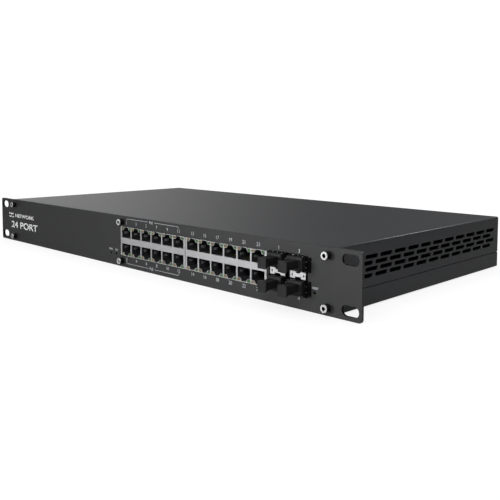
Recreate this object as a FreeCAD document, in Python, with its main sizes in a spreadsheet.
"""A 1U rackmount network switch: twenty-four copper ports, four optical cages.

The row frame has its origin at the centre of the four rack slots, on the rear
(mating) face of the front panel.  +X runs right as seen from the front, +Y runs
into the case and +Z is up.  Every length is in millimetres.
"""
import FreeCAD, Part
import math
import os
import re

import Sketcher
from FreeCAD import Placement, Rotation, Vector

# ---------------------------------------------------------------- dimensions
DIMENSIONS = {
    # Front panel: a standard 19 inch, one unit high panel.
    "panel_width": 482.6, "panel_height": 44.0, "panel_thick": 2.0, "panel_corner": 2.2,
    "slot_spacing_across": 465.1, "slot_spacing_up": 31.75,
    "slot_length": 13.2, "slot_width": 7.0,
    # Case: a tray with front and rear walls, and a cover that folds down both sides.
    "case_width": 440.0, "case_depth": 226.0, "case_bottom": -21.0, "case_top": 21.8,
    "sheet": 1.0, "seam_height": -9.0, "seam_gap": 0.5, "cover_gap": 0.3, "cover_bend": 1.5,
    "cover_flange": 9.0, "wall_clearance": 0.1,
    # Side vents: four rows of slots, every second row set a little further forward.
    "vent_length": 14.5, "vent_height": 2.8, "vent_pitch": 17.24, "vent_columns": 11,
    "vent_first_y": 38.2, "vent_second_y": 32.3, "vent_top_z": 11.5, "vent_row_step": 4.2,
    # Screws through the panel.
    "screw_left_x": -210.0, "screw_middle_x": -10.5, "screw_right_x": 215.0,
    "screw_up": 16.7, "screw_shank": 3.0, "screw_head": 5.5, "screw_head_long": 4.3,
    "screw_socket": 2.5, "screw_socket_deep": 2.2, "screw_reach": 5.0, "screw_hole": 3.4,
    # Copper jack blocks, two rows of six ports each.
    "jack_centre_x": 30.95, "jack_block_step": 87.45, "jack_width": 86.9, "jack_front": 2.3,
    "jack_depth": 26.0, "jack_bottom": -12.2, "jack_top": 12.75, "jack_skin": 0.4,
    "jack_face": 0.6, "port_pitch": 14.1, "port_half": 6.3, "port_columns": 6,
    "strip_bottom": -1.7, "strip_top": 3.4, "lamp_line_up": 10.0, "lamp_line_down": -9.4,
    "notch_wide": 3.85, "notch_narrow": 2.1, "notch_floor": -11.75, "port_deep": 15.0,
    "lamp_near": 6.6, "lamp_far": 4.1, "lamp_slant": 1.2, "lamp_height": 1.9, "lamp_up": 11.25,
    "lamp_down": -10.65, "lamp_long": 3.0, "lamp_gap": 0.05, "jack_window_gap": 0.3,
    "contact_pitch": 1.02, "contact_width": 0.4, "contact_count": 8,
    # Optical cages, two columns of two sockets.
    "cage_centre_x": 181.35, "cage_step": 18.1, "cage_width": 14.9, "cage_bottom": -13.0,
    "cage_top": 13.5, "cage_front": 2.6, "cage_back": 46.0, "cage_skin": 0.4,
    "socket_width": 14.1, "socket_height": 9.0, "upper_socket": 8.5, "lower_socket": -7.2,
    "divider_end": 4.8, "divider_neck": 2.5, "divider_z": 0.45, "divider_wing": 4.4,
    "gasket_skin": 0.35, "gasket_lip": 0.4, "gasket_deep": 4.0, "finger_pitch": 4.0,
    "finger_gap": 0.9,
    # Dust plugs.
    "flange_width": 13.4, "flange_height": 9.6, "flange_thick": 3.3, "handle_width": 7.8,
    "plug_width": 13.3, "plug_height": 8.3, "plug_deep": 12.0, "plug_gap": 0.2,
    # Small front features.
    "light_left_x": -27.6, "light_right_x": -19.6, "light_z": -11.9, "light_hole": 2.0,
    "reset_x": 204.4, "reset_z": -9.2, "reset_hole": 1.8, "reset_pin": 1.2,
    # Boards.
    "board_thick": 1.6, "board_left": -186.0, "board_right": 212.0, "board_front": 1.4,
    "board_back": 118.0, "standoff_width": 6.0,
    "supply_left": -168.0, "supply_right": -40.0, "supply_front": 128.0, "supply_back": 206.0,
    "board_screw_shank": 3.0, "board_screw_head": 5.6, "board_screw_long": 5.6,
    # Parts on the main board.
    "chip_x": 96.0, "chip_y": 72.0, "chip_size": 31.0, "chip_height": 2.4,
    "sink_size": 45.0, "sink_height": 18.0, "sink_fins": 12,
    "poe_x": -60.0, "poe_y": 64.0, "poe_step": 34.0, "poe_size": 10.0, "poe_height": 1.2,
    "poe_count": 3,
    "filter_x": -6.0, "filter_y": 44.0, "filter_step": 14.5, "filter_width": 12.4,
    "filter_length": 9.0, "filter_height": 5.6, "filter_count": 12,
    "small_can_x": -150.0, "small_can_y": 96.0, "small_can_step": 16.0, "small_can_width": 10.0,
    "small_can_height": 13.0, "small_can_count": 4,
    # Parts on the supply board.
    "core_x": -96.0, "core_y": 166.0, "core_width": 33.0, "core_length": 30.0,
    "core_height": 26.0, "winding_width": 24.0, "winding_length": 38.0, "winding_height": 20.0,
    "big_can_x": -144.0, "big_can_y": 153.0, "big_can_step": 20.0, "big_can_width": 18.0,
    "big_can_height": 30.0, "big_can_count": 2,
    "supply_sink_x": -60.0, "supply_sink_width": 16.0, "supply_sink_length": 50.0,
    "supply_sink_height": 28.0, "supply_sink_fins": 4,
    "sink_base": 2.5, "sink_fin": 1.2,
    # Fans.
    "fan_size": 40.0, "fan_thick": 20.0, "fan_bore": 38.0, "fan_hub": 20.0, "fan_x": -216.0,
    "fan_z": 0.3, "fan_front_y": 62.0, "fan_rear_y": 162.0, "fan_screw_pitch": 32.0,
    "fan_shaft": 3.0, "fan_shaft_gap": 0.05, "blade_count": 7, "blade_reach": 18.4,
    # Mains inlet in the rear wall.
    "inlet_x": -152.0, "inlet_z": 0.0, "inlet_width": 27.0, "inlet_height": 19.6,
    "inlet_plate_width": 49.0, "inlet_plate_height": 23.0, "inlet_screw_step": 40.0,
    "inlet_deep": 22.0, "inlet_plate_thick": 1.8, "inlet_wall": 1.5, "inlet_gap": 0.2,
    # Rear wall fasteners.
    "cover_screw_step": 140.0, "cover_screw_z": 15.5, "ground_x": 168.0,
    "rear_shank": 3.0, "ground_shank": 4.0, "rear_head_long": 2.0, "rear_reach": 6.0,
    "drill_gap": 0.1,
}

doc = FreeCAD.newDocument("RackSwitch")
sheet = doc.addObject("Spreadsheet::Sheet", "Dims")
for line, (alias, value) in enumerate(DIMENSIONS.items(), 1):
    sheet.set(f"A{line}", alias)
    sheet.set(f"B{line}", str(value))
    sheet.setAlias(f"B{line}", alias)
doc.recompute()

NODES = {}


def ex(text):
    """An expression in which each dimension's name points at its sheet cell."""
    return re.sub(r"[a-z][a-z_]+", lambda word: "Dims." + word.group(0), str(text))


def dim(name):
    """The plain number that the sheet holds for one dimension."""
    return float(sheet.get(name))


def keep(name, thing):
    """Gives a finished sub-part its own label, which also names its file."""
    thing.Label = name
    NODES[name] = thing
    return thing


# ------------------------------------------------------- sketches and bodies
def new_body(name):
    return doc.addObject("PartDesign::Body", name + "_body")


def origin_part(body, role):
    """One of the body's own planes or axes, found by its role."""
    return next(part for part in body.Origin.OriginFeatures if part.Role == role)


def new_sketch(body, name, plane, offset="0"):
    """A sketch on one of the body's own planes, moved along its normal."""
    sketch = body.newObject("Sketcher::SketchObject", name)
    sketch.AttachmentSupport = [(origin_part(body, plane), "")]
    sketch.MapMode = "FlatFace"
    sketch.setExpression(".AttachmentOffset.Base.z", ex(offset))
    return sketch


def worth(text):
    """What an expression of dimension names is worth now."""
    return float(sheet.evalExpression(str(text)))


def pin_point(sketch, edge, end, across, up):
    """Holds one sketch point at two expressions measured from the sketch's origin."""
    for kind, text in (("DistanceX", across), ("DistanceY", up)):
        held = Sketcher.Constraint(kind, -1, 1, edge, end, worth(text))
        index = sketch.addConstraint(held)
        sketch.setExpression(f"Constraints[{index}]", ex(text))


def outline(sketch, points):
    """A closed outline of straight edges through points given as expressions."""
    places = [Vector(worth(across), worth(up), 0) for across, up in points]
    count = len(points)
    first = sketch.GeometryCount
    for index in range(count):
        edge = Part.LineSegment(places[index], places[(index + 1) % count])
        sketch.addGeometry(edge, False)
    for index in range(count):
        following = first + (index + 1) % count
        sketch.addConstraint(Sketcher.Constraint("Coincident", first + index, 2, following, 1))
        pin_point(sketch, first + index, 1, *points[index])


def rectangle(sketch, left, right, low, high):
    outline(sketch, [(left, low), (right, low), (right, high), (left, high)])


def circle(sketch, across, up, diameter):
    centre = Vector(worth(across), worth(up), 0)
    size = worth(diameter)
    edge = sketch.addGeometry(Part.Circle(centre, Vector(0, 0, 1), size / 2), False)
    pin_point(sketch, edge, 3, across, up)
    index = sketch.addConstraint(Sketcher.Constraint("Diameter", edge, size))
    sketch.setExpression(f"Constraints[{index}]", ex(diameter))


def obround(sketch, across, up, length, width):
    """A level slot with round ends: two arcs joined by two tangent edges."""
    middle = Vector(worth(across), worth(up), 0)
    radius = worth(width) / 2
    reach = worth(length) / 2 - radius
    turn = math.pi / 2
    ends = [Part.Circle(middle + Vector(side * reach, 0, 0), Vector(0, 0, 1), radius)
            for side in (1, -1)]
    right = sketch.addGeometry(Part.ArcOfCircle(ends[0], -turn, turn), False)
    left = sketch.addGeometry(Part.ArcOfCircle(ends[1], turn, 3 * turn), False)
    up_way = Vector(0, radius, 0)
    over = Vector(reach, 0, 0)
    top = sketch.addGeometry(Part.LineSegment(middle + over + up_way, middle - over + up_way), False)
    low = sketch.addGeometry(Part.LineSegment(middle - over - up_way, middle + over - up_way), False)
    for one, one_end, two, two_end in ((right, 2, top, 1), (top, 2, left, 1),
                                       (left, 2, low, 1), (low, 2, right, 1)):
        sketch.addConstraint(Sketcher.Constraint("Tangent", one, one_end, two, two_end))
    sketch.addConstraint(Sketcher.Constraint("Horizontal", top))
    index = sketch.addConstraint(Sketcher.Constraint("Radius", right, radius))
    sketch.setExpression(f"Constraints[{index}]", ex(f"({width}) / 2"))
    pin_point(sketch, right, 3, f"({across}) + (({length}) - ({width})) / 2", up)
    index = sketch.addConstraint(
        Sketcher.Constraint("DistanceX", left, 3, right, 3, 2 * reach))
    sketch.setExpression(f"Constraints[{index}]", ex(f"({length}) - ({width})"))


def pad(body, sketch, length, reverse=False):
    feature = body.newObject("PartDesign::Pad", sketch.Name + "_pad")
    feature.Profile = sketch
    feature.setExpression("Length", ex(length))
    feature.Reversed = reverse
    return feature


def pocket(body, sketch, length=None, reverse=False):
    """A cut of the given depth, or right through both ways when no depth is given."""
    feature = body.newObject("PartDesign::Pocket", sketch.Name + "_pocket")
    feature.Profile = sketch
    if length is None:
        feature.Type = "ThroughAll"
        feature.Midplane = True
    else:
        feature.setExpression("Length", ex(length))
    feature.Reversed = reverse
    return feature


def grid(body, feature, axis, step, count, second=None):
    """Repeats one feature along an axis, and along a second axis when it is given."""
    pattern = body.newObject("PartDesign::LinearPattern", feature.Name + "_grid")
    pattern.Originals = [feature]
    pattern.Direction = (origin_part(body, axis), [""])
    pattern.Mode = "Spacing"
    pattern.setExpression("Offset", ex(step))
    pattern.setExpression("Occurrences", ex(count))
    if second:
        other_axis, other_step, other_count = second
        pattern.Direction2 = (origin_part(body, other_axis), [""])
        pattern.Mode2 = "Extent"
        pattern.setExpression("Length2", ex(f"({other_step}) * ({other_count} - 1)"))
        pattern.setExpression("Occurrences2", ex(other_count))
    body.Tip = pattern
    return pattern


def round_edges(body, base, chosen, radius):
    """Rounds the edges of one feature that the test picks."""
    doc.recompute()
    names = [f"Edge{i}" for i, edge in enumerate(base.Shape.Edges, 1) if chosen(edge)]
    feature = body.newObject("PartDesign::Fillet", base.Name + "_round")
    feature.Base = (base, names)
    feature.setExpression("Radius", ex(radius))
    return feature


def runs_along(edge, axis):
    """True for a straight edge along one axis (0, 1 or 2)."""
    span = edge.Vertexes[-1].Point - edge.Vertexes[0].Point
    return abs(abs(span[axis]) - edge.Length) < 1e-6 and edge.Length > 0


# -------------------------------------------------------- primitives, booleans
TURNS = {"x": Rotation(Vector(0, 1, 0), 90), "y": Rotation(Vector(1, 0, 0), -90), "z": Rotation()}


def place(thing, centre):
    for axis, text in zip("xyz", centre):
        thing.setExpression(f".Placement.Base.{axis}", ex(text))


def block(name, across, along, up):
    """A box between two expressions on each axis."""
    thing = doc.addObject("Part::Box", name)
    for size, (low, high) in zip(("Length", "Width", "Height"), (across, along, up)):
        thing.setExpression(size, ex(f"({high}) - ({low})"))
    place(thing, (across[0], along[0], up[0]))
    return thing


def bar(name, start, diameter, length, axis):
    """A round bar that runs from its start along +X, +Y or +Z."""
    thing = doc.addObject("Part::Cylinder", name)
    thing.Placement.Rotation = TURNS[axis]
    thing.setExpression("Radius", ex(f"({diameter}) / 2"))
    thing.setExpression("Height", ex(length))
    place(thing, start)
    return thing


def hexagon(name, start, width, length, axis):
    """A six-sided bar that runs from its start; width is across its corners."""
    thing = doc.addObject("Part::Prism", name)
    thing.Placement.Rotation = TURNS[axis]
    thing.Polygon = 6
    thing.setExpression("Circumradius", ex(f"({width}) / 2"))
    thing.setExpression("Height", ex(length))
    place(thing, start)
    return thing


def cut(name, base, tools):
    tool = tools[0] if len(tools) == 1 else fuse(name + "_tools", tools)
    thing = doc.addObject("Part::Cut", name)
    thing.Base = base
    thing.Tool = tool
    return thing


def fuse(name, things):
    thing = doc.addObject("Part::MultiFuse", name)
    thing.Shapes = things
    return thing


def group(name, things):
    """Separate solids that share one node."""
    thing = doc.addObject("Part::Compound", name + "_group")
    thing.Links = things
    return keep(name, thing)


def cap_screw(name, start, head, head_long, shank, length, socket, socket_deep):
    """A socket-head screw that points along +Y, with its head in front of start."""
    x, y, z = start
    top = bar(name + "_head", (x, f"({y}) - ({head_long})", z), head, head_long, "y")
    stem = bar(name + "_shank", start, shank, length, "y")
    hollow = hexagon(name + "_socket", (x, f"({y}) - ({head_long})", z), socket, socket_deep, "y")
    return cut(name, fuse(name + "_solid", [top, stem]), [hollow])


def top_screw(name, start):
    """A pan-head board screw that points down -Z, with its head above start."""
    x, y, z = start
    long = "board_screw_long"
    top = bar(name + "_head", start, "board_screw_head", "2", "z")
    stem = bar(name + "_shank", (x, y, f"{z} - {long}"), "board_screw_shank", long, "z")
    hollow = hexagon(name + "_socket", (x, y, f"{z} + 1"), "2", "2", "z")
    return cut(name, fuse(name + "_solid", [top, stem]), [hollow])


# ------------------------------------------------------------- sheet metal
JACK_SIDES = {"left": "jack_centre_x", "right": "(jack_centre_x + jack_block_step)"}
CAGE_SIDES = {"left": "(cage_centre_x - cage_step / 2)", "right": "(cage_centre_x + cage_step / 2)"}
SCREW_COLUMNS = ("screw_left_x", "screw_middle_x", "screw_right_x")
COVER_SCREWS = ("-cover_screw_step", "0", "cover_screw_step")


def front_cutouts(body, name, plane_offset, grow, screw_width):
    """The windows and holes that the panel and the tray's front wall share."""
    sketch = new_sketch(body, name, "XZ_Plane", plane_offset)
    half = "(jack_width / 2 + jack_window_gap)"
    rectangle(sketch, f"jack_centre_x - {half} - {grow}",
              f"jack_centre_x + jack_block_step + {half} + {grow}",
              f"jack_bottom - jack_window_gap - {grow}", f"jack_top + jack_window_gap + {grow}")
    edge = f"(gasket_skin + drill_gap + {grow})"
    reach = f"(cage_step / 2 + cage_width / 2 + {edge})"
    rectangle(sketch, f"cage_centre_x - {reach}", f"cage_centre_x + {reach}",
              f"cage_bottom - {edge}", f"cage_top + {edge}")
    for column in SCREW_COLUMNS:
        for sign in ("", "-"):
            circle(sketch, column, sign + "screw_up", screw_width)
    for light in ("light_left_x", "light_right_x"):
        circle(sketch, light, "light_z", f"light_hole + {grow}")
    circle(sketch, "reset_x", "reset_z", f"reset_hole + {grow}")
    return pocket(body, sketch)


def make_front_panel():
    """The flat 19 inch panel, with rack slots and every front opening."""
    body = new_body("front_panel")
    face = new_sketch(body, "panel_outline", "XZ_Plane")
    rectangle(face, "-panel_width / 2", "panel_width / 2", "-panel_height / 2", "panel_height / 2")
    plate = pad(body, face, "panel_thick")
    round_edges(body, plate, lambda edge: runs_along(edge, 1), "panel_corner")
    slot = new_sketch(body, "rack_slot", "XZ_Plane")
    obround(slot, "-slot_spacing_across / 2", "-slot_spacing_up / 2", "slot_length", "slot_width")
    grid(body, pocket(body, slot), "X_Axis", "slot_spacing_across", 2,
         ("Z_Axis", "slot_spacing_up", 2))
    front_cutouts(body, "panel_openings", 0, 0, "screw_hole")
    keep("front_panel", body)


def make_chassis_tray():
    """Floor, low sides, and full-height front and rear walls, folded from one sheet."""
    body = new_body("chassis_tray")
    foot = new_sketch(body, "tray_outline", "XY_Plane", "case_bottom")
    rectangle(foot, "-case_width / 2", "case_width / 2", "0", "case_depth")
    pad(body, foot, "case_top - sheet - wall_clearance - case_bottom")
    inside = new_sketch(body, "tray_inside", "XY_Plane", "case_top")
    rectangle(inside, "-case_width / 2 + sheet", "case_width / 2 - sheet",
              "sheet", "case_depth - sheet")
    pocket(body, inside, "case_top - case_bottom - sheet")
    sides = new_sketch(body, "tray_side_relief", "XZ_Plane")
    for sign in ("", "-"):
        rectangle(sides, f"{sign}(case_width / 2 - sheet - wall_clearance)",
                  f"{sign}(case_width / 2 + sheet)", "seam_height", "case_top + sheet")
    pocket(body, sides)
    front_cutouts_through_front_wall(body)
    rear = new_sketch(body, "tray_rear_openings", "XZ_Plane", "-case_depth - sheet")
    side, tall = "(inlet_width / 2 + inlet_gap)", "(inlet_height / 2 + inlet_gap)"
    rectangle(rear, f"inlet_x - {side}", f"inlet_x + {side}",
              f"inlet_z - {tall}", f"inlet_z + {tall}")
    for sign in ("-", "+"):
        circle(rear, f"inlet_x {sign} inlet_screw_step / 2", "inlet_z", "rear_shank + drill_gap")
    for across in COVER_SCREWS:
        circle(rear, across, "cover_screw_z", "rear_shank + drill_gap")
    circle(rear, "ground_x", "0", "ground_shank + drill_gap")
    pocket(body, rear, "sheet * 3", reverse=True)
    keep("chassis_tray", body)


def front_cutouts_through_front_wall(body):
    feature = front_cutouts(body, "tray_front_openings", "sheet", 0.4, "screw_shank + 0.1")
    feature.Type = "Length"
    feature.Midplane = False
    feature.setExpression("Length", ex("sheet * 3"))


def make_top_cover():
    """The lid: a top sheet folded down both sides, slotted for air, with a rear flange."""
    body = new_body("top_cover")
    ring = new_sketch(body, "cover_outline", "XZ_Plane", "-case_depth")
    low = "seam_height + seam_gap"
    rectangle(ring, "-case_width / 2", "case_width / 2", low, "case_top")
    shell = pad(body, ring, "case_depth - cover_gap")
    round_edges(body, shell, lambda edge: runs_along(edge, 1) and edge.CenterOfMass.z > 0,
                "cover_bend")
    hollow = new_sketch(body, "cover_inside", "XZ_Plane")
    rectangle(hollow, "-case_width / 2 + sheet", "case_width / 2 - sheet",
              f"{low} - sheet", "case_top - sheet")
    pocket(body, hollow)
    lip = new_sketch(body, "cover_rear_flange", "XZ_Plane", "-case_depth + sheet")
    rectangle(lip, "-case_width / 2 + sheet * 3", "case_width / 2 - sheet * 3",
              "case_top - sheet - cover_flange", "case_top - sheet / 2")
    pad(body, lip, "sheet")
    holes = new_sketch(body, "cover_flange_holes", "XZ_Plane")
    for across in COVER_SCREWS:
        circle(holes, across, "cover_screw_z", "rear_shank + drill_gap")
    pocket(body, holes)
    for name, first, row in (("vents_outer", "vent_first_y", 0), ("vents_inner", "vent_second_y", 1)):
        slot = new_sketch(body, name, "YZ_Plane")
        obround(slot, first, f"vent_top_z - {row} * vent_row_step", "vent_length", "vent_height")
        feature = pocket(body, slot)
        pattern = grid(body, feature, "Y_Axis", "vent_pitch", "vent_columns",
                       ("Z_Axis", "vent_row_step * 2", 2))
        pattern.Reversed2 = True
    keep("top_cover", body)


def make_case_screws():
    """Cap screws in the panel, and pan-head screws in the rear wall."""
    screws = []
    for column in SCREW_COLUMNS:
        for end, sign in (("upper", ""), ("lower", "-")):
            screws.append(cap_screw(f"{column}_{end}", (column, "-panel_thick", sign + "screw_up"),
                                    "screw_head", "screw_head_long", "screw_shank",
                                    "panel_thick + screw_reach", "screw_socket * 1.15",
                                    "screw_socket_deep"))
    group("panel_screws", screws)
    group("cover_screws", [rear_screw(f"cover_screw_{index}", across, "cover_screw_z",
                                      "rear_shank", "case_depth")
                           for index, across in enumerate(COVER_SCREWS)])
    group("inlet_screws", [rear_screw(f"inlet_screw_{side}", f"inlet_x {way} inlet_screw_step / 2",
                                      "inlet_z", "rear_shank", "case_depth + inlet_plate_thick")
                           for side, way in (("one", "-"), ("two", "+"))])
    keep("ground_screw", rear_screw("ground_screw_solid", "ground_x", "0", "ground_shank",
                                    "case_depth"))


def rear_screw(name, across, up, shank, back):
    """A pan-head screw driven forward through the rear wall."""
    stem = bar(name + "_shank", (across, f"{back} - rear_reach", up), shank, "rear_reach", "y")
    head = bar(name + "_head", (across, back, up), f"{shank} * 1.9", "rear_head_long", "y")
    recess = hexagon(name + "_recess", (across, f"{back} + rear_head_long / 2", up),
                     f"{shank} * 0.8", "rear_head_long", "y")
    return cut(name, fuse(name + "_solid", [stem, head]), [recess])


# ------------------------------------------------------------- copper jacks
def port_outline(sketch, middle, upper, shift="0"):
    """One port: a square mouth with a narrowing notch for the plug's latch."""
    if upper:
        base, line, tip = "strip_top", "lamp_line_up", "jack_top + 0.05"
    else:
        base, line, tip = "strip_bottom", "lamp_line_down", "notch_floor"
    half = {"mouth": "port_half", "wide": "notch_wide", "narrow": "notch_narrow"}
    outline(sketch, [
        (f"{middle} - {half['mouth']}", base), (f"{middle} + {half['mouth']}", base),
        (f"{middle} + {half['mouth']}", line), (f"{middle} + {half['wide']}", line),
        (f"{middle} + {half['narrow']}", tip), (f"{middle} - {half['narrow']}", tip),
        (f"{middle} - {half['wide']}", line), (f"{middle} - {half['mouth']}", line)])


def first_port(middle):
    return f"{middle} - port_pitch * (port_columns - 1) / 2"


LAMP_ROWS = {"lamp_up": ("+", "-"), "lamp_down": ("-", "+")}


def lamp_outlines(sketch, middle):
    """The four lamp windows round one port column; the outer edge follows the notch."""
    gap = "lamp_gap"
    for sign in ("-", "+"):
        near = f"{middle} {sign} (lamp_near + {gap})"
        far = f"{middle} {sign} (lamp_far - {gap})"
        tip = f"{middle} {sign} (lamp_far - lamp_slant - {gap})"
        for up, (outward, inward) in LAMP_ROWS.items():
            shoulder = f"{up} {inward} (lamp_height / 2 + {gap})"
            crown = f"{up} {outward} (lamp_height / 2 + {gap})"
            outline(sketch, [(near, shoulder), (far, shoulder), (tip, crown), (near, crown)])


def make_jack_shield(side, middle):
    """The tinned steel can that wraps one block of twelve jacks."""
    body = new_body(f"rj45_shield_{side}")
    face = new_sketch(body, f"shield_{side}_outline", "XZ_Plane", "jack_front")
    half = "jack_width / 2"
    rectangle(face, f"{middle} - {half}", f"{middle} + {half}", "jack_bottom", "jack_top")
    pad(body, face, "jack_depth", reverse=True)
    hollow = new_sketch(body, f"shield_{side}_inside", "XZ_Plane", "jack_front - jack_face")
    inner = "jack_width / 2 - jack_skin"
    rectangle(hollow, f"{middle} - ({inner})", f"{middle} + ({inner})",
              "jack_bottom + jack_skin", "jack_top - jack_skin")
    pocket(body, hollow, "jack_depth - jack_face - jack_skin")
    for row, upper in (("upper", True), ("lower", False)):
        mouth = new_sketch(body, f"shield_{side}_{row}_port", "XZ_Plane", "jack_front + 0.1")
        port_outline(mouth, first_port(middle), upper)
        grid(body, pocket(body, mouth, "jack_face + 0.2"), "X_Axis", "port_pitch", "port_columns")
    lamps = new_sketch(body, f"shield_{side}_lamps", "XZ_Plane", "jack_front + 0.1")
    lamp_outlines(lamps, first_port(middle))
    grid(body, pocket(body, lamps, "jack_face + 0.2"), "X_Axis", "port_pitch", "port_columns")
    feet = new_sketch(body, f"shield_{side}_feet", "XY_Plane", "cage_bottom")
    for across in ("-", "+"):
        for along in ("2.5", "jack_depth - 6"):
            corner = f"{middle} {across} (jack_width / 2 - 4)"
            rectangle(feet, f"{corner} - 1.5", f"{corner} + 1.5", along, f"{along} + 2")
    pad(body, feet, "jack_bottom - cage_bottom + jack_skin / 2")
    keep(f"rj45_shield_{side}", body)


def make_jack_housing(side, middle):
    """The moulded block inside the can, with a deep cavity behind each mouth."""
    body = new_body(f"rj45_housing_{side}")
    back = "jack_front - jack_face - 0.05"
    face = new_sketch(body, f"housing_{side}_outline", "XZ_Plane", back)
    inner = "jack_width / 2 - jack_skin - 0.05"
    rectangle(face, f"{middle} - ({inner})", f"{middle} + ({inner})",
              "jack_bottom + jack_skin + 0.05", "jack_top - jack_skin - 0.05")
    pad(body, face, "jack_depth - jack_face - jack_skin - 0.1", reverse=True)
    for row, upper in (("upper", True), ("lower", False)):
        mouth = new_sketch(body, f"housing_{side}_{row}_port", "XZ_Plane", back + " + 0.1")
        port_outline(mouth, first_port(middle), upper)
        grid(body, pocket(body, mouth, "port_deep"), "X_Axis", "port_pitch", "port_columns")
    lamps = new_sketch(body, f"housing_{side}_lamps", "XZ_Plane", back + " + 0.1")
    lamp_outlines(lamps, first_port(middle))
    grid(body, pocket(body, lamps, "lamp_long"), "X_Axis", "port_pitch", "port_columns")
    keep(f"rj45_housing_{side}", body)


# Depth behind the can's face, then height above the floor of the mouth.
CONTACT_PROFILE = ((15.4, 0.0), (5.4, 0.0), (5.4, 0.35), (12.4, 3.35), (12.5, 3.0), (6.5, 0.3),
                   (15.4, 0.3))


def make_contacts(side, block_index):
    """Eight sprung wires in each port, folded back over the cavity floor."""
    wires = []
    width, pitch = dim("contact_width"), dim("contact_pitch")
    count = int(dim("contact_count"))
    middle = dim("jack_centre_x") + block_index * dim("jack_block_step")
    columns = int(dim("port_columns"))
    depth_start = -dim("jack_front")
    for column in range(columns):
        port_x = middle + (column - (columns - 1) / 2) * dim("port_pitch")
        for floor, way in ((dim("strip_top"), 1), (dim("strip_bottom"), -1)):
            for index in range(count):
                left = port_x + (index - (count - 1) / 2) * pitch - width / 2
                ring = [Vector(left, depth_start + along, floor + way * up)
                        for along, up in CONTACT_PROFILE]
                face = Part.Face(Part.makePolygon(ring + ring[:1]))
                wires.append(face.extrude(Vector(width, 0, 0)))
    thing = doc.addObject("Part::Feature", f"rj45_contacts_{side}_wires")
    thing.Shape = Part.makeCompound(wires)
    keep(f"rj45_contacts_{side}", thing)


def lamp(name, middle, sign, up):
    """One light pipe: a wedge whose wide end is at the notch's narrow end."""
    thing = doc.addObject("Part::Wedge", name)
    thing.Placement.Rotation = Rotation(Vector(1, 0, 0), 90)
    near, far = f"{middle} {sign} lamp_near", f"{middle} {sign} lamp_far"
    tip = f"{middle} {sign} (lamp_far - lamp_slant)"
    wide, narrow = (tip, near), (far, near)
    if sign == "-":
        wide, narrow = (near, tip), (near, far)
    low, high = (narrow, wide) if up == "lamp_up" else (wide, narrow)
    back, front = "jack_front - lamp_long", "jack_front - lamp_gap"
    for corner, text in (("Xmin", low[0]), ("Xmax", low[1]), ("X2min", high[0]),
                         ("X2max", high[1]), ("Ymin", f"{up} - lamp_height / 2"),
                         ("Ymax", f"{up} + lamp_height / 2"), ("Zmin", back), ("Zmax", front),
                         ("Z2min", back), ("Z2max", front)):
        thing.setExpression(corner, ex(text))
    return thing


def make_jack_lamps():
    """Clear light pipes: green on the right of every port, amber on the left."""
    for colour, sign in (("green", "+"), ("amber", "-")):
        pipes = []
        for side, middle in JACK_SIDES.items():
            for column in range(int(dim("port_columns"))):
                centre = f"({first_port(middle)} + {column} * port_pitch)"
                for up in LAMP_ROWS:
                    pipes.append(lamp(f"{colour}_{side}_{column}_{up}", centre, sign, up))
        group(f"rj45_{colour}_lamps", pipes)


def make_ground_tabs():
    """Sprung tabs of the can, one on each side wall of every port."""
    tabs = []
    for side, middle in JACK_SIDES.items():
        for column in range(int(dim("port_columns"))):
            centre = f"{first_port(middle)} + {column} * port_pitch"
            for row, up in (("upper", "7.2"), ("lower", "-5.0")):
                for way, sign in (("near", "-"), ("far", "+")):
                    wall = f"{centre} {sign} (port_half - 0.2)"
                    tabs.append(block(f"tab_{side}_{column}_{row}_{way}",
                                      (f"{wall} - 0.2", f"{wall} + 0.2"), ("0.2", "4.4"),
                                      (f"{up} - 0.95", f"{up} + 0.95")))
    group("rj45_ground_tabs", tabs)


# ------------------------------------------------------------ optical cages
def make_cage(side, middle):
    """A folded steel cage with an upper and a lower socket and a shallow bay between."""
    body = new_body(f"sfp_cage_{side}")
    face = new_sketch(body, f"cage_{side}_outline", "XZ_Plane", "cage_front")
    rectangle(face, f"{middle} - cage_width / 2", f"{middle} + cage_width / 2",
              "cage_bottom", "cage_top")
    pad(body, face, "cage_front + cage_back", reverse=True)
    for row, up in (("upper", "upper_socket"), ("lower", "lower_socket")):
        mouth = new_sketch(body, f"cage_{side}_{row}", "XZ_Plane", "cage_front + 0.1")
        rectangle(mouth, f"{middle} - socket_width / 2", f"{middle} + socket_width / 2",
                  f"{up} - socket_height / 2", f"{up} + socket_height / 2")
        pocket(body, mouth, "cage_front + cage_back - cage_skin")
    bay = new_sketch(body, f"cage_{side}_bay", "XZ_Plane", "cage_front + 0.1")
    rectangle(bay, f"{middle} - socket_width / 2", f"{middle} + socket_width / 2",
              "lower_socket + socket_height / 2 + cage_skin",
              "upper_socket - socket_height / 2 - cage_skin")
    pocket(body, bay, "5")
    keep(f"sfp_cage_{side}", body)


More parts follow.
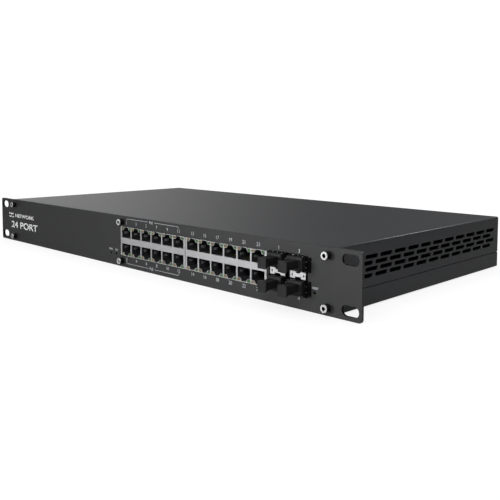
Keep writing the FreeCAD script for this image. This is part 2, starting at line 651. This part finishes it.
def make_gasket(side, middle):
    """A ring of spring fingers that folds over the cage's front edge and into the panel."""
    rim, hole, mouth = "(cage_width / 2 + gasket_skin)", "(cage_width / 2)", "(socket_width / 2)"
    front, edge = "-cage_front - gasket_lip", "-cage_front"
    back = "-cage_front + gasket_deep"
    outer = block(f"gasket_{side}_outer", (f"{middle} - {rim}", f"{middle} + {rim}"), (front, back),
                  ("cage_bottom - gasket_skin", "cage_top + gasket_skin"))
    inner = block(f"gasket_{side}_inner", (f"{middle} - {hole}", f"{middle} + {hole}"),
                  (edge, f"{back} + 1"), ("cage_bottom", "cage_top"))
    window = block(f"gasket_{side}_window", (f"{middle} - {mouth}", f"{middle} + {mouth}"),
                   (f"{front} - 1", f"{back} + 1"),
                   ("lower_socket - socket_height / 2", "upper_socket + socket_height / 2"))
    gaps = []
    reach = (f"{front} - 1", f"{back} - 0.8")
    for step in (-1, 0, 1):
        at = f"{middle} + {step} * finger_pitch"
        gaps.append(block(f"gasket_{side}_gap_across_{step + 1}",
                          (f"{at} - finger_gap / 2", f"{at} + finger_gap / 2"), reach,
                          ("cage_bottom - 1", "cage_top + 1")))
    for step in range(6):
        at = f"(cage_bottom + cage_top) / 2 + ({step} - 2.5) * finger_pitch"
        gaps.append(block(f"gasket_{side}_gap_up_{step}",
                          (f"{middle} - cage_width", f"{middle} + cage_width"), reach,
                          (f"{at} - finger_gap / 2", f"{at} + finger_gap / 2")))
    ring = cut(f"sfp_gasket_{side}_ring", outer, [inner, window] + gaps)
    keep(f"sfp_gasket_{side}", ring)


def make_divider(side, middle):
    """The bright spacer between two sockets: wide wings joined by a narrow neck."""
    body = new_body(f"sfp_divider_{side}")
    face = new_sketch(body, f"divider_{side}_outline", "XZ_Plane", "cage_front - 0.1")
    half = "(socket_width / 2 - 0.1)"
    shoulder = f"({half} - divider_wing)"
    tall, thin = "divider_end / 2", "divider_neck / 2"
    slope = 1.2
    points = [(f"{middle} - {half}", f"divider_z - {tall}"),
              (f"{middle} - {shoulder}", f"divider_z - {tall}"),
              (f"{middle} - {shoulder}", f"divider_z - {thin}"),
              (f"{middle} + {shoulder}", f"divider_z - {thin}"),
              (f"{middle} + {shoulder}", f"divider_z - {tall}"),
              (f"{middle} + {half}", f"divider_z - {tall}"),
              (f"{middle} + {half}", f"divider_z + {tall}"),
              (f"{middle} + {shoulder}", f"divider_z + {tall}"),
              (f"{middle} + {shoulder} - {slope}", f"divider_z + {thin}"),
              (f"{middle} - {shoulder} + {slope}", f"divider_z + {thin}"),
              (f"{middle} - {shoulder}", f"divider_z + {tall}"),
              (f"{middle} - {half}", f"divider_z + {tall}")]
    outline(face, points)
    pad(body, face, "4.5", reverse=True)
    lights = new_sketch(body, f"divider_{side}_lights", "XZ_Plane", "cage_front")
    for across in ("-", "+"):
        triangle(lights, f"{middle} {across} (socket_width / 2 - 2)", across, "0")
    pocket(body, lights, "3")
    keep(f"sfp_divider_{side}", body)


def triangle(sketch, centre, across, grow):
    """A small arrow-head window that points up or down beside the neck."""
    away = "-" if across == "+" else "+"
    outline(sketch, [(f"{centre} {away} (0.45 - {grow})", "divider_z - 1.1 + " + grow),
                     (f"{centre} {across} (0.75 - {grow} * 2)", "divider_z"),
                     (f"{centre} {away} (0.45 - {grow})", "divider_z + 1.1 - " + grow)])


def make_light_pipes():
    """Clear prisms that carry the optical ports' lamps to the dividers."""
    pipes = []
    for side, middle in CAGE_SIDES.items():
        for end, across in (("near", "-"), ("far", "+")):
            body = new_body(f"light_pipe_{side}_{end}")
            face = new_sketch(body, f"pipe_{side}_{end}_outline", "XZ_Plane", "cage_front - 0.3")
            triangle(face, f"{middle} {across} (socket_width / 2 - 2)", across, "0.06")
            pad(body, face, "2.4", reverse=True)
            pipes.append(body)
    group("sfp_light_pipes", pipes)


# Distance in front of the origin, then the handle's top and bottom about the socket's middle.
HANDLE_PROFILE = ((6.4, 2.9, -2.1), (11.0, 2.9, -2.5), (15.0, 2.95, -2.8), (16.6, 3.2, -3.3),
                  (17.9, 3.35, -4.3))


def make_dust_plug(index, middle, up):
    """A moulded stopper: a body in the socket, a flange in front and a flared handle."""
    name = f"dust_plug_{index}"
    mouth = "-cage_front - gasket_lip - plug_gap"
    shell = block(name + "_stem", (f"{middle} - plug_width / 2", f"{middle} + plug_width / 2"),
                  (f"{mouth}", f"{mouth} + plug_deep"),
                  (f"{up} - plug_height / 2", f"{up} + plug_height / 2"))
    core = block(name + "_core", (f"{middle} - plug_width / 2 + 1", f"{middle} + plug_width / 2 - 1"),
                 (f"{mouth} + 1.2", f"{mouth} + plug_deep + 1"),
                 (f"{up} - plug_height / 2 + 1", f"{up} + plug_height / 2 - 1"))
    flange = block(name + "_flange",
                   (f"{middle} - flange_width / 2", f"{middle} + flange_width / 2"),
                   (f"{mouth} - flange_thick", mouth),
                   (f"{up} - flange_height / 2", f"{up} + flange_height / 2"))
    body = new_body(name + "_handle")
    side = new_sketch(body, name + "_handle_profile", "YZ_Plane", f"{middle} - handle_width / 2")
    top = [(f"-{y}", f"{up} + {high}") for y, high, low in HANDLE_PROFILE]
    bottom = [(f"-{y}", f"{up} + ({low})") for y, high, low in reversed(HANDLE_PROFILE)]
    outline(side, top + bottom)
    pad(body, side, "handle_width")
    keep(name, fuse(name + "_solid", [cut(name + "_shell", shell, [core]), flange, body]))


# ---------------------------------------------------------- boards and chips
BOARD_TOP = "cage_bottom"
FLOOR = "(case_bottom + sheet)"
BOARD_BOTTOM = "(cage_bottom - board_thick)"
BOARD_HOLES = [(x, y) for x in (-178, 14, 204) for y in (36, 110)]
SUPPLY_HOLES = [(x, y) for x in (-163, -45) for y in (133, 201)]


def board_with_holes(name, left, right, front, back, holes):
    plate = block(name + "_blank", (left, right), (front, back), (BOARD_BOTTOM, BOARD_TOP))
    drills = [bar(f"{name}_hole_{i}", (x, y, f"{BOARD_BOTTOM} - 1"), "3.2", "board_thick + 2", "z")
              for i, (x, y) in enumerate(holes)]
    return keep(name, cut(name + "_plate", plate, drills))


def standoffs_and_screws(prefix, holes):
    """Threaded pillars on the floor, and a screw down into each through the board."""
    pillars, screws = [], []
    for index, (x, y) in enumerate(holes):
        pillar = hexagon(f"{prefix}_pillar_{index}", (x, y, FLOOR), "standoff_width",
                         f"{BOARD_BOTTOM} - {FLOOR}", "z")
        bore = bar(f"{prefix}_bore_{index}", (x, y, f"{BOARD_BOTTOM} - 4.2"), "3.1", "5", "z")
        pillars.append(cut(f"{prefix}_standoff_{index}", pillar, [bore]))
        screws.append(top_screw(f"{prefix}_screw_{index}", (x, y, BOARD_TOP)))
    group(f"{prefix}_standoffs", pillars)
    group(f"{prefix}_screws", screws)


def on_board(name, x, y, width, length, height):
    """A block that stands on a board, centred at x, y."""
    return block(name, (f"{x} - {width} / 2", f"{x} + {width} / 2"),
                 (f"{y} - {length} / 2", f"{y} + {length} / 2"), (BOARD_TOP, f"{BOARD_TOP} + {height}"))


def row_of(count, maker):
    """Like pieces in a row: the maker is given each one's number from 0."""
    return [maker(index) for index in range(int(dim(count)))]


def make_heatsink(name, x, y, base_z, width, length, height, fins):
    """An extruded heat sink: a base plate with upright fins."""
    body = new_body(name)
    left, front, back = f"{x} - {width} / 2", f"{y} - {length} / 2", f"{y} + {length} / 2"
    foot = new_sketch(body, name + "_base", "XY_Plane", base_z)
    rectangle(foot, left, f"{x} + {width} / 2", front, back)
    pad(body, foot, "sink_base")
    fin = new_sketch(body, name + "_fin", "XY_Plane", f"{base_z} + sink_base / 2")
    rectangle(fin, left, f"{left} + sink_fin", front, back)
    blade = pad(body, fin, f"{height} - sink_base / 2")
    grid(body, blade, "X_Axis", f"({width} - sink_fin) / ({fins} - 1)", fins)
    keep(name, body)


def make_main_board():
    """The long board behind the jacks, with its chips, filters and capacitors."""
    board_with_holes("main_board", "board_left", "board_right", "board_front", "board_back",
                     BOARD_HOLES)
    standoffs_and_screws("board", BOARD_HOLES)
    keep("switch_chip", on_board("switch_chip_package", "chip_x", "chip_y", "chip_size",
                                 "chip_size", "chip_height"))
    make_heatsink("switch_heatsink", "chip_x", "chip_y", f"{BOARD_TOP} + chip_height + drill_gap",
                  "sink_size", "sink_size", "sink_height", "sink_fins")
    group("poe_controllers", row_of("poe_count", lambda i: on_board(
        f"poe_controller_{i}", f"poe_x + {i} * poe_step", "poe_y", "poe_size", "poe_size",
        "poe_height")))
    group("line_filters", row_of("filter_count", lambda i: on_board(
        f"line_filter_{i}", f"filter_x + {i} * filter_step", "filter_y", "filter_width",
        "filter_length", "filter_height")))
    group("board_capacitors", row_of("small_can_count", lambda i: bar(
        f"board_capacitor_{i}", (f"small_can_x + {i} * small_can_step", "small_can_y", BOARD_TOP),
        "small_can_width", "small_can_height", "z")))


def make_supply():
    """The mains supply on its own board, over an insulating sheet."""
    board_with_holes("supply_board", "supply_left", "supply_right", "supply_front", "supply_back",
                     SUPPLY_HOLES)
    standoffs_and_screws("supply", SUPPLY_HOLES)
    core = on_board("transformer_core", "core_x", "core_y", "core_width", "core_length",
                    "core_height")
    winding = on_board("transformer_winding", "core_x", "core_y", "winding_width",
                       "winding_length", "winding_height")
    keep("supply_transformer", fuse("supply_transformer_solid", [core, winding]))
    group("supply_capacitors", row_of("big_can_count", lambda i: bar(
        f"bulk_capacitor_{i}", ("big_can_x", f"big_can_y + {i} * big_can_step", BOARD_TOP),
        "big_can_width", "big_can_height", "z")))
    make_heatsink("supply_heatsink", "supply_sink_x", "core_y", BOARD_TOP, "supply_sink_width",
                  "supply_sink_length", "supply_sink_height", "supply_sink_fins")
    insulator = block("insulator_sheet", ("supply_left - 2", "supply_right + 2"),
                      ("supply_front - 2", "supply_back + 2"), (f"{FLOOR}", f"{FLOOR} + 0.4"))
    windows = [bar(f"insulator_hole_{i}", (x, y, f"{FLOOR} - 1"), "standoff_width + 1", "3", "z")
               for i, (x, y) in enumerate(SUPPLY_HOLES)]
    keep("supply_insulator", cut("supply_insulator_sheet", insulator, windows))


def make_small_front_parts():
    """Two status lamps on light guides, and the recessed reset switch with its plunger."""
    lamps = []
    for name, across in (("left", "light_left_x"), ("right", "light_right_x")):
        dome = bar(f"status_{name}_lens", (across, "-panel_thick / 2", "light_z"),
                   "light_hole - 0.3", "panel_thick + 1", "y")
        foot = block(f"status_{name}_foot", (f"{across} - 1.6", f"{across} + 1.6"),
                     ("board_front + 0.4", "board_front + 4.4"), (BOARD_TOP, f"{BOARD_TOP} + 2.6"))
        lamps.append(fuse(f"status_{name}", [dome, foot]))
    group("status_lamps", lamps)
    base = block("reset_case_block", ("reset_x - 3", "reset_x + 3"), ("3.2", "6.8"),
                 (BOARD_TOP, f"{BOARD_TOP} + 7"))
    guide = bar("reset_guide", ("reset_x", "3", "reset_z"), "reset_pin + 0.1", "2.5", "y")
    keep("reset_switch", cut("reset_switch_case", base, [guide]))
    keep("reset_plunger", bar("reset_plunger_pin", ("reset_x", "1.2", "reset_z"), "reset_pin",
                              "3.4", "y"))


# -------------------------------------------------------------------- fans
def make_fan(name, centre_y):
    """A square frame with a three-armed motor mount, and a seven-bladed rotor."""
    half = "fan_size / 2"
    frame = block(f"{name}_square", ("fan_x", "fan_x + fan_thick"),
                  (f"{centre_y} - {half}", f"{centre_y} + {half}"), (f"fan_z - {half}", f"fan_z + {half}"))
    tools = [bar(f"{name}_bore", ("fan_x - 1", centre_y, "fan_z"), "fan_bore", "fan_thick + 2", "x")]
    for i, (along, up) in enumerate(((-1, -1), (-1, 1), (1, -1), (1, 1))):
        tools.append(bar(f"{name}_screw_hole_{i}",
                         ("fan_x - 1", f"{centre_y} + {along} * fan_screw_pitch / 2",
                          f"fan_z + {up} * fan_screw_pitch / 2"), "3.4", "fan_thick + 2", "x"))
    ring = cut(f"{name}_ring", frame, tools)
    hub = bar(f"{name}_mount", ("fan_x", centre_y, "fan_z"), "fan_hub", "2.4", "x")
    pin = bar(f"{name}_shaft", ("fan_x", centre_y, "fan_z"), "fan_shaft", "fan_thick - 3", "x")
    arms = []
    for i in range(3):
        arm = block(f"{name}_arm_{i}", ("fan_x", "fan_x + 2.2"), ("0", "1"), ("0", "1"))
        arm.setExpression("Width", ex("2.4"))
        arm.setExpression("Height", ex("fan_bore / 2 + 0.4"))
        angle = math.radians(120 * i + 30)
        place(arm, ("fan_x", f"{centre_y} - 1.2 * {math.cos(angle):.6f}",
                    f"fan_z - 1.2 * {math.sin(angle):.6f}"))
        arm.Placement.Rotation = Rotation(Vector(1, 0, 0), 120 * i + 30)
        arms.append(arm)
    keep(f"{name}_frame", fuse(f"{name}_frame_solid", [ring, hub, pin] + arms))
    make_rotor(name, centre_y)


def make_rotor(name, centre_y):
    """A hub that turns on the frame's pin, with pitched blades all round it."""
    start = "fan_x + 2.8"
    long = "fan_thick - 4.2"
    hub = bar(f"{name}_hub", (start, centre_y, "fan_z"), "fan_hub", long, "x")
    bore = bar(f"{name}_hub_bore", ("fan_x + 2", centre_y, "fan_z"),
               "fan_shaft + fan_shaft_gap * 2", "fan_thick - 4.4", "x")
    blades = []
    reach = worth("blade_reach")
    centre = Vector(worth("fan_x + fan_thick / 2 + 0.5"), worth(centre_y), worth("fan_z"))
    for i in range(int(dim("blade_count"))):
        blade = doc.addObject("Part::Box", f"{name}_blade_{i}")
        blade.Length, blade.Width = 1.1, 13.0
        blade.setExpression("Height", ex("blade_reach - fan_hub / 2 + 1.5"))
        pitch = Placement(Vector(-0.55, -6.5, 0), Rotation())
        tilt = Placement(Vector(), Rotation(Vector(0, 0, 1), 48))
        lift = Placement(Vector(0, 0, reach - blade.Height.Value - 0.6), Rotation())
        spin = Placement(centre, Rotation(Vector(1, 0, 0), 360 * i / dim("blade_count")))
        blade.Placement = spin * lift * tilt * pitch
        blades.append(blade)
    solid = fuse(f"{name}_rotor_solid", [hub] + blades)
    keep(f"{name}_rotor", cut(f"{name}_rotor_bored", solid, [bore]))


def make_fan_bracket():
    """An upright plate that both fans screw to, folded out at the floor."""
    face = "fan_x + fan_thick"
    plate = block("bracket_plate", (face, f"{face} + 1.2"), ("fan_front_y - 22", "fan_rear_y + 22"),
                  (FLOOR, "case_top - sheet - 0.4"))
    foot = block("bracket_foot", (face, f"{face} + 8"), ("fan_front_y + 24", "fan_rear_y - 24"),
                 (FLOOR, f"{FLOOR} + 1.2"))
    tools, screws = [], []
    for label, centre in (("front", "fan_front_y"), ("rear", "fan_rear_y")):
        tools.append(bar(f"bracket_{label}_bore", (f"{face} - 1", centre, "fan_z"), "fan_bore", "4", "x"))
        for i, (along, up) in enumerate(((-1, -1), (-1, 1), (1, -1), (1, 1))):
            at = (f"{centre} + {along} * fan_screw_pitch / 2", f"fan_z + {up} * fan_screw_pitch / 2")
            tools.append(bar(f"bracket_{label}_hole_{i}", (f"{face} - 1",) + at, "3.2", "4", "x"))
            stem = bar(f"fan_{label}_stem_{i}", (f"{face} - 8",) + at, "3", "9.2", "x")
            head = bar(f"fan_{label}_head_{i}", (f"{face} + 1.2",) + at, "5.6", "2", "x")
            screws.append(fuse(f"fan_{label}_screw_{i}", [stem, head]))
    keep("fan_bracket", cut("fan_bracket_sheet", fuse("fan_bracket_blank", [plate, foot]), tools))
    group("fan_screws", screws)


# ------------------------------------------------------------- mains inlet
INLET_PINS = {"live": (7, -2), "neutral": (-7, -2), "earth": (0, 2)}


def make_inlet():
    """An appliance inlet: a flange on the rear wall, a socket and three flat pins."""
    plate = block("inlet_plate",
                  ("inlet_x - inlet_plate_width / 2", "inlet_x + inlet_plate_width / 2"),
                  ("case_depth", "case_depth + inlet_plate_thick"),
                  ("inlet_z - inlet_plate_height / 2", "inlet_z + inlet_plate_height / 2"))
    barrel = block("inlet_barrel", ("inlet_x - inlet_width / 2", "inlet_x + inlet_width / 2"),
                   ("case_depth - inlet_deep", "case_depth + 1"),
                   ("inlet_z - inlet_height / 2", "inlet_z + inlet_height / 2"))
    side, tall = "(inlet_width / 2 - inlet_wall)", "(inlet_height / 2 - inlet_wall - 0.3)"
    hollow = block("inlet_hollow", (f"inlet_x - {side}", f"inlet_x + {side}"),
                   ("case_depth - inlet_deep + 2.5", "case_depth + 3"),
                   (f"inlet_z - {tall}", f"inlet_z + {tall}"))
    tools = [hollow]
    for sign in ("-", "+"):
        side = "one" if sign == "-" else "two"
        tools.append(bar(f"inlet_hole_{side}", (f"inlet_x {sign} inlet_screw_step / 2",
                                               "case_depth - 1", "inlet_z"), "3.2", "4", "y"))
    pins = []
    for label, (across, up) in INLET_PINS.items():
        spot = ((f"inlet_x + {across} - 1", f"inlet_x + {across} + 1"),
                ("case_depth - inlet_deep - 4", "case_depth - 2"),
                (f"inlet_z + {up} - 2", f"inlet_z + {up} + 2"))
        pins.append(block(f"inlet_pin_{label}", *spot))
        tools.append(block(f"inlet_pin_slot_{label}", *spot))
    keep("mains_inlet", cut("mains_inlet_body", fuse("inlet_solid", [plate, barrel]), tools))
    group("inlet_pins", pins)


def wire_path(corners, bend, thick):
    """A round lead along straight runs joined by tangent arcs."""
    points = [Vector(*corner) for corner in corners]
    edges = []
    start = points[0]
    for before, corner, after in zip(points, points[1:], points[2:]):
        back = (before - corner).normalize()
        ahead = (after - corner).normalize()
        half = back.getAngle(ahead) / 2
        trim = bend / math.tan(half)
        first, last = corner + back * trim, corner + ahead * trim
        inward = (back + ahead).normalize()
        middle = corner + inward * (bend / math.sin(half) - bend)
        edges.append(Part.LineSegment(start, first).toShape())
        edges.append(Part.Arc(first, middle, last).toShape())
        start = last
    edges.append(Part.LineSegment(start, points[-1]).toShape())
    path = Part.Wire(edges)
    ring = Part.Circle(points[0], points[1] - points[0], thick / 2).toShape()
    return path.makePipeShell([Part.Wire(ring)], True, False)


LEAD_THICK = 1.8
MAINS_RUN_STEP = 4.0
MAINS_LANDINGS = (-128.0, -119.0, -108.0)
FEED_COLUMNS = (-122.0, -116.0, -110.0, -104.0)


def make_leads():
    """Fixed leads inside the case: mains to the supply, and the supply to the board."""
    board_top = dim("cage_bottom")
    pin_end = worth("case_depth - inlet_deep - 4")
    mains = []
    for index, ((across, up), landing) in enumerate(zip(INLET_PINS.values(), MAINS_LANDINGS)):
        x, z = dim("inlet_x") + across, dim("inlet_z") + up
        run = pin_end - 5 - MAINS_RUN_STEP * index
        route = [(x, pin_end, z), (x, run, z), (landing, run, z), (landing, run, board_top)]
        mains.append(wire_path(route, bend=2.4, thick=LEAD_THICK))
    feeds = []
    for x in FEED_COLUMNS:
        back, front, crown = dim("supply_front") + 6, dim("board_back") - 5, board_top + 9
        route = [(x, back, board_top), (x, back, crown), (x, front, crown), (x, front, board_top)]
        feeds.append(wire_path(route, bend=3.5, thick=LEAD_THICK))
    for name, wires in (("mains_leads", mains), ("supply_leads", feeds)):
        thing = doc.addObject("Part::Feature", name + "_wires")
        thing.Shape = Part.makeCompound(wires)
        keep(name, thing)


# -------------------------------------------------------------- the whole
def build():
    make_front_panel()
    make_chassis_tray()
    make_top_cover()
    make_case_screws()
    for index, (side, middle) in enumerate(JACK_SIDES.items()):
        make_jack_shield(side, middle)
        make_jack_housing(side, middle)
        make_contacts(side, index)
    make_jack_lamps()
    make_ground_tabs()
    number = 0
    for side, middle in CAGE_SIDES.items():
        make_cage(side, middle)
        make_gasket(side, middle)
        make_divider(side, middle)
        for up in ("upper_socket", "lower_socket"):
            number += 1
            make_dust_plug(number, middle, up)
    make_light_pipes()
    make_main_board()
    make_supply()
    make_small_front_parts()
    make_fan("fan_front", "fan_front_y")
    make_fan("fan_rear", "fan_rear_y")
    make_fan_bracket()
    make_inlet()
    make_leads()
    doc.recompute()


def check():
    """Stops if any object failed or any sub-part's shape is empty or broken."""
    for thing in doc.Objects:
        bad = {"Invalid", "Error"} & set(thing.State)
        if bad:
            raise RuntimeError(f"{thing.Label} is {', '.join(sorted(bad))}")
    for name, thing in NODES.items():
        if thing.Shape.isNull() or not thing.Shape.isValid():
            raise RuntimeError(f"{name} has no valid shape")
        if not thing.Shape.Solids:
            raise RuntimeError(f"{name} has no solid")


def write():
    os.makedirs("parts", exist_ok=True)
    for name, thing in NODES.items():
        thing.Shape.exportStep(os.path.join("parts", name + ".step"))
        box = thing.Shape.BoundBox
        print(f"{name:24s} {len(thing.Shape.Solids):4d} solids {thing.Shape.Volume:12.1f} mm3 "
              f"x {box.XMin:8.2f} {box.XMax:8.2f} y {box.YMin:8.2f} {box.YMax:8.2f} "
              f"z {box.ZMin:7.2f} {box.ZMax:7.2f}")


build()
check()
write()
